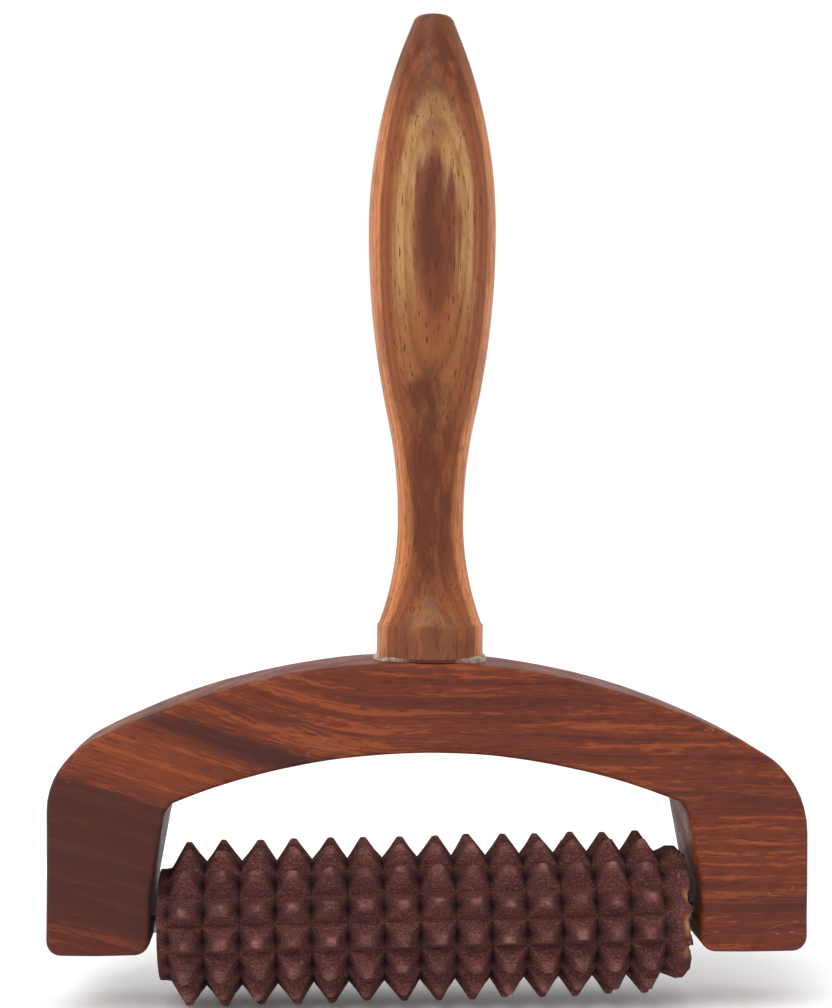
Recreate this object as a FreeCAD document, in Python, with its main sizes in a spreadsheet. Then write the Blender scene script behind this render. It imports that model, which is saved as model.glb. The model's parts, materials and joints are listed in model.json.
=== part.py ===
"""Hand-made wooden foot massage roller: a turned handle on a forked board that carries a spiked roller.

Frame: +X along the roller's axle, +Y through the board to its back, +Z up the handle. The origin is
under the handle's axis, level with the roller's lowest spikes. Every size is in millimetres.
"""
import FreeCAD, Part
import math
import os

import Sketcher

SIZES = (
    # the sawn board that forks into two arms
    ("yoke_width", 180.0, "width over the outer faces of the two arms"),
    ("yoke_height", 68.9, "from the arm bottoms to the top of the crown"),
    ("board_thickness", 25.5, "thickness of the board, front to back"),
    ("fork_opening", 130.2, "between the arms, at the axle"),
    ("fork_offset", -0.8, "sideways place of the fork's middle, from the handle's axis"),
    ("fork_mouth", 123.6, "between the arms, at the inner corners under the arch"),
    ("arm_straight", 15.0, "how far up the inner face of an arm is plumb"),
    ("arch_depth", 21.5, "height of the wood at the crown"),
    ("arch_radius", 167.0, "radius of the arch's top edge"),
    ("arch_offset", -3.0, "sideways place of the top edge's centre"),
    ("underside_radius", 160.0, "radius of the arch's lower edge"),
    ("left_shoulder_round", 18.0, "round where the arch meets the left arm"),
    ("right_shoulder_round", 22.0, "round where the arch meets the right arm"),
    ("inner_corner_round", 3.0, "round where the underside meets an arm"),
    ("arm_tip_round", 3.5, "round at the bottom corners of the arms"),
    ("edge_round", 1.3, "sanded round along the board's front and back edges"),
    # the steel axle and what closes its hole
    ("axle_radius", 2.0, "radius of the steel rod and of its hole in the arms"),
    ("axle_lift", 5.7, "height of the axle above the arm bottoms, midway between the arms"),
    ("axle_rise", 1.2, "slant of the axle in degrees, its right end higher"),
    ("axle_chamfer", 0.4, "chamfer at the ends of the rod"),
    ("plug_length", 5.0, "length of the dowel that closes each end of the hole"),
    ("plug_inset", 0.3, "how far a dowel lies under the face of its arm"),
    # the spiked roller
    ("roller_length", 126.4, "length over both ends"),
    ("roller_end_gap", 1.6, "between the roller's left end and the left arm"),
    ("bore_clearance", 0.1, "running clearance between the rod and the roller's bore, per side"),
    ("tip_radius", 19.7, "from the axle to the flat of a spike's tip"),
    ("tip_width", 1.3, "width of the flat left on each tip"),
    ("ring_depth", 5.5, "depth of the turned grooves below the tips"),
    ("row_depth", 5.3, "depth of the lengthwise grooves below the tips"),
    ("groove_floor", 0.5, "width of the flat at the bottom of every groove"),
    ("ring_pitch", 8.38, "from one ring of spikes to the next"),
    ("ring_count", 15, "rings of spikes along the roller"),
    ("row_count", 14, "spikes in each ring"),
    ("row_turn", 2.2, "degrees that the front row has turned down from the axle's level"),
    ("plain_end_radius", 13.1, "radius of the plain left end"),
    ("plain_end_length", 2.5, "length of the plain left end"),
    ("blunt_ring_loss", 3.3, "how much of its spikes the last ring has lost"),
    ("blunt_end_fall", 1.2, "how much lower still the last ring is worn at the right end"),
    ("blunt_end_length", 0.9, "length of that worn stretch"),
    # the turned handle
    ("handle_height", 154.4, "from the collar's foot to the top"),
    ("collar_radius", 12.85, "radius of the collar at the handle's foot"),
    ("collar_height", 7.8, "height of the straight side of the collar"),
    ("collar_bevel", 0.5, "bevel round the top of the collar"),
    ("neck_radius", 7.9, "radius at the thinnest place"),
    ("neck_height", 33.0, "height of the thinnest place above the foot"),
    ("bend_height", 57.0, "height where the hollow of the neck turns into the swell of the grip"),
    ("belly_radius", 15.4, "radius at the widest place of the grip"),
    ("belly_height", 103.0, "height of the widest place above the foot"),
    ("head_bend_radius", 125.0, "radius of the grip's side above its widest place"),
    ("head_radius", 6.4, "radius where the top starts to round over"),
    ("head_round", 4.5, "radius of the rounding over at the top"),
    ("crown_flat_radius", 3.4, "radius of the flat left at the very top"),
    ("tenon_radius", 6.0, "radius of the tenon under the handle"),
    ("tenon_length", 14.0, "length of the tenon under the handle's foot"),
    ("socket_clearance", 0.1, "glue clearance round the tenon, per side"),
    ("socket_spare", 1.0, "depth of the socket past the tenon's end"),
    # the glue under and round the handle's foot
    ("glue_line", 0.25, "thinnest glue between the crown and the collar"),
    ("glue_width", 0.9, "how far the squeezed-out glue stands out from the collar"),
    ("glue_rise", 0.9, "how far the squeezed-out glue climbs the collar"),
    ("glue_reach", 1.4, "how far under the collar's foot the glue block starts, to meet the curved crown"),
)
OVERCUT = 1.0       # how far a cutting shape starts outside the wood
STRAIGHT = None     # an edge with no bend

doc = FreeCAD.newDocument("foot_roller")
sheet = doc.addObject("Spreadsheet::Sheet", "dims")
for row, (alias, value, meaning) in enumerate(SIZES, start=1):
    sheet.set(f"A{row}", str(value))
    sheet.setAlias(f"A{row}", alias)
    sheet.set(f"B{row}", meaning)
doc.recompute()

# Places worked out from the sizes, as expressions that stay bound to the sheet.
HALF_WIDTH = "dims.yoke_width / 2"
FORK_LEFT = "(dims.fork_offset - dims.fork_opening / 2)"
FORK_RIGHT = "(dims.fork_offset + dims.fork_opening / 2)"
MOUTH_LEFT = "(dims.fork_offset - dims.fork_mouth / 2)"
MOUTH_RIGHT = "(dims.fork_offset + dims.fork_mouth / 2)"
LEFT_END = f"({FORK_LEFT} + dims.roller_end_gap)"
FIRST_RING = f"({LEFT_END} + dims.plain_end_length + dims.ring_pitch / 2)"
RIGHT_END = f"({LEFT_END} + dims.roller_length)"
RING_ROOT = "(dims.tip_radius - dims.ring_depth)"
ROW_ROOT = "(dims.tip_radius - dims.row_depth)"
BLUNT_RADIUS = "(dims.tip_radius - dims.blunt_ring_loss)"

# A groove between two rows: its flanks run from the root to the flats of the tips on both sides. The
# roller stands on the row beside its lowest groove, on the edge where a flank meets the blank.
HALF_ROW = "(180 / dims.row_count)"
ROW_MOUTH = f"(dims.tip_radius * sin({HALF_ROW}) - dims.tip_width / 2)"
ROW_SLOPE = f"(({ROW_MOUTH} - dims.groove_floor / 2) / (dims.tip_radius * cos({HALF_ROW}) - {ROW_ROOT}))"
FLANK_START = f"(dims.groove_floor / 2 - {ROW_SLOPE} * {ROW_ROOT})"
GROOVE_REACH = (f"((sqrt((1 + pow({ROW_SLOPE}; 2)) * pow(dims.tip_radius; 2) - pow({FLANK_START}; 2))"
                f" - {ROW_SLOPE} * {FLANK_START}) / (1 + pow({ROW_SLOPE}; 2)))")
LOW_REACH = f"(dims.tip_radius * cos(acos({GROOVE_REACH} / dims.tip_radius) - dims.row_turn * 1 deg))"
AXLE_HEIGHT = (f"({LOW_REACH} * cos(dims.axle_rise) - ({FIRST_RING} - dims.tip_width / 2)"
               " * sin(dims.axle_rise))")
ARM_BOTTOM = f"({AXLE_HEIGHT} - dims.axle_lift)"
CROWN_TOP = f"({ARM_BOTTOM} + dims.yoke_height)"
HANDLE_FOOT = f"({CROWN_TOP} + dims.glue_line)"
PLUG_START = "(dims.yoke_width / 2 - dims.plug_inset - dims.plug_length)"


def number(expression):
    """The value that an expression has now."""
    value = sheet.evalExpression(expression)
    return float(getattr(value, "Value", value))


def new_body(label):
    body = doc.addObject("PartDesign::Body", label)
    body.Label = label
    return body


def origin_feature(body, role):
    """One of the body's own planes or axes, such as XZ_Plane or X_Axis."""
    return next(f for f in body.Origin.OriginFeatures if f.Role == role)


def new_sketch(body, plane, name):
    sketch = body.newObject("Sketcher::SketchObject", name)
    sketch.AttachmentSupport = [(origin_feature(body, plane), "")]
    sketch.MapMode = "FlatFace"
    return sketch


def bind(sketch, constraint, expression):
    """Add a constraint and keep its value tied to the sheet."""
    index = sketch.addConstraint(constraint)
    sketch.setExpression(f"Constraints[{index}]", expression)


def bent_edge(start, end, radius):
    """An arc from start to end: a positive radius bends to the left of the way, a negative one right."""
    chord = end - start
    half = chord.Length / 2
    rise = abs(radius) - math.sqrt(radius * radius - half * half)
    side = FreeCAD.Vector(-chord.y, chord.x, 0).normalize() * math.copysign(rise, radius)
    return Part.Arc(start, (start + end) / 2 + side, end)


def draw_outline(sketch, corners):
    """Draw a closed outline. Each corner is (x, y, radius of the edge that leaves it), as expressions."""
    points = [FreeCAD.Vector(number(x), number(y), 0) for x, y, _ in corners]
    ends = []
    for index, (_, _, bend) in enumerate(corners):
        start = points[index]
        end = points[(index + 1) % len(points)]
        if bend is STRAIGHT:
            edge = sketch.addGeometry(Part.LineSegment(start, end))
        else:
            edge = sketch.addGeometry(bent_edge(start, end, number(bend)))
        starts_here = sketch.getPoint(edge, 1).distanceToPoint(start) < 1e-6
        ends.append((edge, 1, 2) if starts_here else (edge, 2, 1))
    for index, (edge, _, last) in enumerate(ends):
        following, first, _ = ends[(index + 1) % len(ends)]
        sketch.addConstraint(Sketcher.Constraint("Coincident", edge, last, following, first))
    for (x, y, bend), point, (edge, first, _) in zip(corners, points, ends):
        bind(sketch, Sketcher.Constraint("DistanceX", -1, 1, edge, first, point.x), x)
        bind(sketch, Sketcher.Constraint("DistanceY", -1, 1, edge, first, point.y), y)
        if bend is not STRAIGHT:
            bind(sketch, Sketcher.Constraint("Radius", edge, abs(number(bend))), f"abs({bend})")


def draw_circle(sketch, radius):
    """Draw a circle about the sketch's own origin."""
    circle = sketch.addGeometry(Part.Circle(FreeCAD.Vector(), FreeCAD.Vector(0, 0, 1), number(radius)))
    sketch.addConstraint(Sketcher.Constraint("Coincident", circle, 3, -1, 1))
    bind(sketch, Sketcher.Constraint("Radius", circle, number(radius)), radius)


def pad_both_ways(body, sketch, length):
    pad = body.newObject("PartDesign::Pad", f"{body.Label}_pad")
    pad.Profile = sketch
    pad.SideType = "Symmetric"
    pad.setExpression("Length", length)
    return pad


def revolve(body, sketch, axis, name):
    turned = body.newObject("PartDesign::Revolution", name)
    turned.Profile = sketch
    turned.ReferenceAxis = (sketch, [axis])
    turned.Angle = 360
    return turned


def edges_of_tip(body, wanted):
    """The body so far and the names of those of its edges that the test picks."""
    doc.recompute()
    base = body.Tip
    return base, [f"Edge{i}" for i, edge in enumerate(base.Shape.Edges, start=1) if wanted(edge)]


def round_edges(body, name, radius, wanted):
    picked = edges_of_tip(body, wanted)
    fillet = body.newObject("PartDesign::Fillet", name)
    fillet.Base = picked
    fillet.setExpression("Radius", radius)


def lay_on_axle(body):
    """Turn a piece that is drawn along X to the axle's slant, and lift it to the axle."""
    body.Placement = FreeCAD.Placement(FreeCAD.Vector(), FreeCAD.Rotation(FreeCAD.Vector(0, -1, 0), 1))
    body.setExpression("Placement.Base.z", AXLE_HEIGHT)
    body.setExpression("Placement.Rotation.Angle", "dims.axle_rise")


def stand_edge_near(x, z):
    """A test for the edge that runs front to back through (x, z)."""
    def wanted(edge):
        first, last = edge.Vertexes[0].Point, edge.Vertexes[-1].Point
        runs_back = abs(first.y - last.y) > number("dims.board_thickness") * 0.9
        return runs_back and math.hypot(first.x - x, first.z - z) < OVERCUT
    return wanted


def make_yoke():
    """The board: a low arch with an arm at each end, a socket in its crown and the axle's hole."""
    body = new_body("yoke")
    outline = new_sketch(body, "XZ_Plane", "yoke_outline")
    side_drop = "dims.arch_radius - sqrt(pow(dims.arch_radius; 2) - pow({0}; 2))"
    left_side = f"{CROWN_TOP} - ({side_drop.format('(dims.yoke_width / 2 + dims.arch_offset)')})"
    right_side = f"{CROWN_TOP} - ({side_drop.format('(dims.yoke_width / 2 - dims.arch_offset)')})"
    mouth_top = (f"{CROWN_TOP} - dims.arch_depth - (dims.underside_radius"
                 " - sqrt(pow(dims.underside_radius; 2) - pow(dims.fork_mouth / 2; 2)))")
    straight_top = f"{ARM_BOTTOM} + dims.arm_straight"
    draw_outline(outline, (
        (f"-{HALF_WIDTH}", ARM_BOTTOM, STRAIGHT),
        (f"-{HALF_WIDTH}", left_side, "dims.arch_radius"),
        (HALF_WIDTH, right_side, STRAIGHT),
        (HALF_WIDTH, ARM_BOTTOM, STRAIGHT),
        (FORK_RIGHT, ARM_BOTTOM, STRAIGHT),
        (FORK_RIGHT, straight_top, STRAIGHT),
        (MOUTH_RIGHT, mouth_top, "-dims.underside_radius"),
        (MOUTH_LEFT, mouth_top, STRAIGHT),
        (FORK_LEFT, straight_top, STRAIGHT),
        (FORK_LEFT, ARM_BOTTOM, STRAIGHT),
    ))
    pad_both_ways(body, outline, "dims.board_thickness")

    half = number(HALF_WIDTH)
    bottom = number(ARM_BOTTOM)
    round_edges(body, "left_shoulder", "dims.left_shoulder_round", stand_edge_near(-half, number(left_side)))
    round_edges(body, "right_shoulder", "dims.right_shoulder_round", stand_edge_near(half, number(right_side)))
    inner = [stand_edge_near(number(x), number(mouth_top)) for x in (MOUTH_LEFT, MOUTH_RIGHT)]
    round_edges(body, "inner_corners", "dims.inner_corner_round", lambda edge: any(t(edge) for t in inner))
    tips = [stand_edge_near(x, bottom) for x in (-half, half, number(FORK_LEFT), number(FORK_RIGHT))]
    round_edges(body, "arm_tips", "dims.arm_tip_round", lambda edge: any(t(edge) for t in tips))
    face = number("dims.board_thickness / 2")
    round_edges(body, "sanded_edges", "dims.edge_round",
                lambda edge: all(abs(abs(v.Y) - face) < 1e-6 for v in edge.Vertexes)
                and abs(edge.Vertexes[0].Y - edge.Vertexes[-1].Y) < 1e-6)

    mouth = new_sketch(body, "XY_Plane", "socket_mouth")
    mouth.setExpression("AttachmentOffset.Base.z", f"{CROWN_TOP} + {OVERCUT}")
    draw_circle(mouth, "dims.tenon_radius + dims.socket_clearance")
    socket = body.newObject("PartDesign::Pocket", "socket")
    socket.Profile = mouth
    socket.setExpression("Length", f"{OVERCUT} + dims.tenon_length - dims.glue_line + dims.socket_spare")

    drill = new_sketch(body, "YZ_Plane", "axle_drill")
    drill.AttachmentOffset = FreeCAD.Placement(
        FreeCAD.Vector(), FreeCAD.Rotation(FreeCAD.Vector(-1, 0, 0), 1))
    drill.setExpression("AttachmentOffset.Base.y", AXLE_HEIGHT)
    drill.setExpression("AttachmentOffset.Rotation.Angle", "dims.axle_rise")
    draw_circle(drill, "dims.axle_radius")
    hole = body.newObject("PartDesign::Pocket", "axle_hole")
    hole.Profile = drill
    hole.SideType = "Symmetric"
    hole.setExpression("Length", f"dims.yoke_width + {2 * OVERCUT}")
    return body


def make_handle():
    """The turned handle: tenon, collar, hollow neck, long swelling grip and rounded head."""
    body = new_body("handle")
    profile = new_sketch(body, "XZ_Plane", "handle_profile")
    swell = "(dims.belly_radius - dims.neck_radius)"
    reach = "(dims.belly_height - dims.neck_height)"
    both_bends = f"((pow({reach}; 2) + pow({swell}; 2)) / (2 * {swell}))"
    neck_bend = f"({both_bends} * (dims.bend_height - dims.neck_height) / {reach})"
    grip_bend = f"({both_bends} - {neck_bend})"
    turn = f"asin({reach} / {both_bends})"
    bend_radius_out = f"dims.neck_radius + {neck_bend} * (1 - cos({turn}))"
    foot_reach = "(dims.collar_radius - dims.collar_bevel - dims.neck_radius)"
    foot_drop = "(dims.neck_height - dims.collar_height - dims.collar_bevel)"
    foot_bend = f"((pow({foot_drop}; 2) + pow({foot_reach}; 2)) / (2 * {foot_reach}))"
    head_drop = ("sqrt(pow(dims.head_bend_radius; 2)"
                 " - pow(dims.head_bend_radius - dims.belly_radius + dims.head_radius; 2))")
    draw_outline(profile, (
        ("0", "-dims.tenon_length", STRAIGHT),
        ("dims.tenon_radius", "-dims.tenon_length", STRAIGHT),
        ("dims.tenon_radius", "0", STRAIGHT),
        ("dims.collar_radius", "0", STRAIGHT),
        ("dims.collar_radius", "dims.collar_height", STRAIGHT),
        ("dims.collar_radius - dims.collar_bevel", "dims.collar_height + dims.collar_bevel", foot_bend),
        ("dims.neck_radius", "dims.neck_height", neck_bend),
        (bend_radius_out, "dims.bend_height", f"-{grip_bend}"),
        ("dims.belly_radius", "dims.belly_height", "-dims.head_bend_radius"),
        ("dims.head_radius", f"dims.belly_height + {head_drop}", "-dims.head_round"),
        ("dims.crown_flat_radius", "dims.handle_height", STRAIGHT),
        ("0", "dims.handle_height", STRAIGHT),
    ))
    revolve(body, profile, "V_Axis", "handle_turning")
    body.setExpression("Placement.Base.z", HANDLE_FOOT)
    return body


def make_glue():
    """Glue that fills the wedge between the curved crown and the flat collar, squeezed out all round."""
    block = doc.addObject("Part::Cylinder", "glue_block")
    block.setExpression("Radius", "dims.collar_radius + dims.glue_width")
    block.setExpression("Height", "dims.glue_reach + dims.glue_rise")
    block.setExpression("Placement.Base.z", f"{HANDLE_FOOT} - dims.glue_reach")

    collar = doc.addObject("Part::Cylinder", "collar_space")
    collar.setExpression("Radius", "dims.collar_radius")
    collar.setExpression("Height", f"dims.glue_rise + {OVERCUT}")
    collar.setExpression("Placement.Base.z", HANDLE_FOOT)

    tenon = doc.addObject("Part::Cylinder", "tenon_space")
    tenon.setExpression("Radius", "dims.tenon_radius + dims.socket_clearance")
    tenon.setExpression("Height", f"dims.glue_reach + {2 * OVERCUT}")
    tenon.setExpression("Placement.Base.z", f"{HANDLE_FOOT} - dims.glue_reach - {OVERCUT}")

    arch = doc.addObject("Part::Cylinder", "arch_space")
    arch.Placement = FreeCAD.Placement(
        FreeCAD.Vector(), FreeCAD.Rotation(FreeCAD.Vector(1, 0, 0), 90))
    arch.setExpression("Radius", "dims.arch_radius")
    arch.setExpression("Height", "dims.board_thickness * 2")
    arch.setExpression("Placement.Base.x", "dims.arch_offset")
    arch.setExpression("Placement.Base.y", "dims.board_thickness")
    arch.setExpression("Placement.Base.z", f"{CROWN_TOP} - dims.arch_radius")

    taken = doc.addObject("Part::MultiFuse", "glue_free_space")
    taken.Shapes = [collar, tenon, arch]
    glue = doc.addObject("Part::Cut", "glue_bead")
    glue.Base = block
    glue.Tool = taken
    return glue


def make_roller():
    """The roller: a turned blank, V grooves turned round it, then V grooves cut along it."""
    body = new_body("spiked_roller")
    bore = "dims.axle_radius + dims.bore_clearance"
    slope = "((dims.ring_pitch - dims.tip_width - dims.groove_floor) / 2 / dims.ring_depth)"
    last_groove = f"({FIRST_RING} + (dims.ring_count - 1.5) * dims.ring_pitch)"
    blank = new_sketch(body, "XZ_Plane", "blank_profile")
    draw_outline(blank, (
        (LEFT_END, bore, STRAIGHT),
        (LEFT_END, "dims.plain_end_radius", STRAIGHT),
        (f"{LEFT_END} + dims.plain_end_length", "dims.plain_end_radius", STRAIGHT),
        (f"{FIRST_RING} - dims.tip_width / 2", "dims.tip_radius", STRAIGHT),
        (last_groove, "dims.tip_radius", STRAIGHT),
        (last_groove, BLUNT_RADIUS, STRAIGHT),
        (f"{RIGHT_END} - dims.blunt_end_length", BLUNT_RADIUS, STRAIGHT),
        (RIGHT_END, f"{BLUNT_RADIUS} - dims.blunt_end_fall", STRAIGHT),
        (RIGHT_END, bore, STRAIGHT),
    ))
    revolve(body, blank, "H_Axis", "roller_blank")

    ring_cut = new_sketch(body, "XZ_Plane", "ring_cut")
    first_groove = f"({FIRST_RING} + dims.ring_pitch / 2)"
    mouth = f"(dims.groove_floor / 2 + {slope} * (dims.ring_depth + {OVERCUT}))"
    draw_outline(ring_cut, (
        (f"{first_groove} - dims.groove_floor / 2", RING_ROOT, STRAIGHT),
        (f"{first_groove} - {mouth}", f"dims.tip_radius + {OVERCUT}", STRAIGHT),
        (f"{first_groove} + {mouth}", f"dims.tip_radius + {OVERCUT}", STRAIGHT),
        (f"{first_groove} + dims.groove_floor / 2", RING_ROOT, STRAIGHT),
    ))
    groove = body.newObject("PartDesign::Groove", "ring_groove")
    groove.Profile = ring_cut
    groove.ReferenceAxis = (ring_cut, ["H_Axis"])
    groove.Angle = 360
    rings = body.newObject("PartDesign::LinearPattern", "ring_grooves")
    rings.Originals = [groove]
    rings.Direction = (origin_feature(body, "X_Axis"), [""])
    rings.Mode = "Extent"
    rings.setExpression("Length", "(dims.ring_count - 2) * dims.ring_pitch")
    rings.setExpression("Occurrences", "dims.ring_count - 1")
    body.Tip = rings
    doc.recompute()

    row_cut = new_sketch(body, "YZ_Plane", "row_cut")
    row_cut.AttachmentOffset = FreeCAD.Placement(
        FreeCAD.Vector(), FreeCAD.Rotation(FreeCAD.Vector(0, 0, 1), 1))
    row_cut.setExpression("AttachmentOffset.Rotation.Angle", "dims.row_turn")
    far_out = f"(dims.tip_radius + {OVERCUT})"
    far_half = f"({FLANK_START} + {ROW_SLOPE} * {far_out})"
    draw_outline(row_cut, (
        ("-dims.groove_floor / 2", ROW_ROOT, STRAIGHT),
        (f"-{far_half}", far_out, STRAIGHT),
        (far_half, far_out, STRAIGHT),
        ("dims.groove_floor / 2", ROW_ROOT, STRAIGHT),
    ))
    slot = body.newObject("PartDesign::Pocket", "row_groove")
    slot.Profile = row_cut
    slot.SideType = "Symmetric"
    slot.setExpression("Length", f"dims.fork_opening + {2 * OVERCUT}")
    rows = body.newObject("PartDesign::PolarPattern", "row_grooves")
    rows.Originals = [slot]
    rows.Axis = (origin_feature(body, "X_Axis"), [""])
    rows.Mode = "Extent"
    rows.Angle = 360
    rows.setExpression("Occurrences", "dims.row_count")
    body.Tip = rows
    lay_on_axle(body)
    return body


def make_axle():
    """The steel rod, a press fit in both arms, that the roller turns on."""
    body = new_body("axle_rod")
    section = new_sketch(body, "YZ_Plane", "rod_section")
    draw_circle(section, "dims.axle_radius")
    pad_both_ways(body, section, f"2 * {PLUG_START}")
    rims = edges_of_tip(body, lambda edge: edge.isClosed())
    chamfer = body.newObject("PartDesign::Chamfer", "rod_ends")
    chamfer.Base = rims
    chamfer.setExpression("Size", "dims.axle_chamfer")
    lay_on_axle(body)
    return body


def make_plug(label, side):
    """A short dowel glued in the end of the axle's hole; side is -1 for the left arm, 1 for the right."""
    body = new_body(label)
    section = new_sketch(body, "YZ_Plane", f"{label}_section")
    middle = f"({PLUG_START} + dims.plug_length / 2)"
    section.setExpression("AttachmentOffset.Base.z", f"{side} * {middle}")
    draw_circle(section, "dims.axle_radius")
    pad_both_ways(body, section, "dims.plug_length")
    lay_on_axle(body)
    return body


pieces = [
    make_yoke(),
    make_handle(),
    make_glue(),
    make_roller(),
    make_axle(),
    make_plug("left_axle_plug", -1),
    make_plug("right_axle_plug", 1),
]
doc.recompute()

for item in doc.Objects:
    if "Invalid" in item.State or "Error" in item.State:
        raise RuntimeError(f"{item.Label} could not be made: {item.State}")
for piece in pieces:
    if piece.Shape.isNull() or not piece.Shape.isValid() or len(piece.Shape.Solids) != 1:
        raise RuntimeError(f"{piece.Label} is not one sound solid")

os.makedirs("parts", exist_ok=True)
for piece in pieces:
    piece.Shape.exportStep(os.path.join("parts", f"{piece.Label}.step"))
    box = piece.Shape.BoundBox
    print(f"{piece.Label}: {piece.Shape.Volume:.0f} mm3, x {box.XMin:.2f}..{box.XMax:.2f}, "
          f"y {box.YMin:.2f}..{box.YMax:.2f}, z {box.ZMin:.2f}..{box.ZMax:.2f}")
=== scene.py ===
"""Looks of the wooden foot massage roller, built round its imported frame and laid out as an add-on."""
import json
import math
import random

import bmesh
import bpy
from bpy.props import FloatProperty, FloatVectorProperty, IntProperty, PointerProperty
from mathutils import Matrix, Vector, noise


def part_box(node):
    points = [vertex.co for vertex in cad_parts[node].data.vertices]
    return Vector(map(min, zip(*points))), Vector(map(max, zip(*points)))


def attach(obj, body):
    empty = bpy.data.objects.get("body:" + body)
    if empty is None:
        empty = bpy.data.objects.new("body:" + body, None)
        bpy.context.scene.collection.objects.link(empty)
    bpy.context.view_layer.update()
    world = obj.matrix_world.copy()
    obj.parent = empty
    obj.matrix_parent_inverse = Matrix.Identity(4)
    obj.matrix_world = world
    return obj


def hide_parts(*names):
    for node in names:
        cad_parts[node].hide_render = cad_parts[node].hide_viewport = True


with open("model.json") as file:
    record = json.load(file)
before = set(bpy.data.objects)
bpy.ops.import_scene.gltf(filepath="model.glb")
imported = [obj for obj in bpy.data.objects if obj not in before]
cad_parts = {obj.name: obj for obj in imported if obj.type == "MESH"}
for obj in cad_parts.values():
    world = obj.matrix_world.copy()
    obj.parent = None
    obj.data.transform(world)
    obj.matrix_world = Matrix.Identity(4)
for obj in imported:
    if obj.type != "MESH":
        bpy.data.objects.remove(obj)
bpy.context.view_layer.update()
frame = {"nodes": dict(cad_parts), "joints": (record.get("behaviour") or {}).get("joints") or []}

bl_info = {
    "name": "Wooden Foot Roller",
    "version": (1, 0, 0),
    "blender": (4, 5, 0),
    "location": "3D View > Sidebar > Foot Roller",
    "description": "Builds a hand-made wooden foot massage roller piece by piece",
    "category": "Object",
}

YOKE_LOW, YOKE_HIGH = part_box("yoke")
HANDLE_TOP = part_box("handle")[1].z
SPIN_JOINT = frame["joints"][0]
AXLE_POINT = Vector(SPIN_JOINT["pos_m"])
AXLE_DIRECTION = Vector(SPIN_JOINT["axis"])
AXLE_SLANT = math.atan2(AXLE_DIRECTION.z, AXLE_DIRECTION.x)
ACROSS = Vector((0, 1, 0))      # the axis that every outline in the front plane is turned about
MM = 0.001
NOISE_SEED = 14


# ---------------------------------------------------------------- sizes and colours a user would change

def length(name, default, description):
    return FloatProperty(name=name, description=description, default=default, min=0.0,
                         unit="LENGTH", precision=5)


def place(name, default, description):
    return FloatProperty(name=name, description=description, default=default,
                         unit="LENGTH", precision=5)


def colour(name, default, description):
    return FloatVectorProperty(name=name, description=description, default=default,
                               subtype="COLOR", size=3, min=0.0, max=1.0)


class YokeSizes(bpy.types.PropertyGroup):
    arch_depth: length("Arch depth", 0.0215, "Height of the wood at the crown")
    arch_radius: length("Arch radius", 0.167, "Radius of the arch's top edge")
    arch_offset: place("Arch offset", -0.003, "Sideways place of the top edge's centre")
    underside_radius: length("Underside radius", 0.160, "Radius of the arch's lower edge")
    left_shoulder: length("Left shoulder", 0.018, "Round where the arch meets the left arm")
    right_shoulder: length("Right shoulder", 0.022, "Round where the arch meets the right arm")
    inner_corner: length("Inner corner", 0.0016, "Round where the underside meets an arm")
    fork_opening: length("Fork opening", 0.1302, "Between the arms at the axle")
    fork_offset: place("Fork offset", -0.0008, "Sideways place of the fork's middle")
    fork_mouth: length("Fork mouth", 0.1236, "Between the arms under the arch")
    arm_straight: length("Plumb length", 0.015, "How far up the inner face of an arm is plumb")
    arm_tip_round: length("Arm tip round", 0.0035, "Round at the bottom corners of the arms")
    edge_round: length("Edge round", 0.0013, "Sanded round along the front and back edges")
    axle_radius: length("Axle radius", 0.002, "Radius of the hole that is drilled for the rod")
    unevenness: length("Unevenness", 0.00022, "How far hand sanding left the board from true")


class HandleSizes(bpy.types.PropertyGroup):
    height: length("Height", 0.1544, "From the collar's foot to the top")
    collar_radius: length("Collar radius", 0.01285, "Radius of the collar")
    collar_height: length("Collar height", 0.0078, "Height of the collar's straight side")
    collar_bevel: length("Collar bevel", 0.0005, "Bevel round the top of the collar")
    neck_radius: length("Neck radius", 0.0079, "Radius at the thinnest place")
    neck_height: length("Neck height", 0.033, "Height of the thinnest place")
    bend_height: length("Bend height", 0.057, "Height where the hollow turns into the swell")
    belly_radius: length("Belly radius", 0.0154, "Radius at the widest place")
    belly_height: length("Belly height", 0.103, "Height of the widest place")
    head_bend: length("Head bend", 0.125, "Radius of the side above the widest place")
    head_radius: length("Head radius", 0.0064, "Radius where the side's bend ends in a straight taper")
    head_edge: length("Head edge", 0.001, "Height of the rounded edge at the top")
    head_round: length("Head round", 0.002, "Radius of that rounded edge")
    crown_flat: length("Crown flat", 0.004, "Radius of the flat at the very top")
    tenon_radius: length("Tenon radius", 0.006, "Radius of the tenon")
    tenon_length: length("Tenon length", 0.014, "Length of the tenon")
    socket_clearance: length("Socket clearance", 0.0001, "Glue clearance round the tenon")
    socket_spare: length("Socket spare", 0.001, "Depth of the socket past the tenon")
    unevenness: length("Unevenness", 0.00018, "How far the turning is from round")


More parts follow.
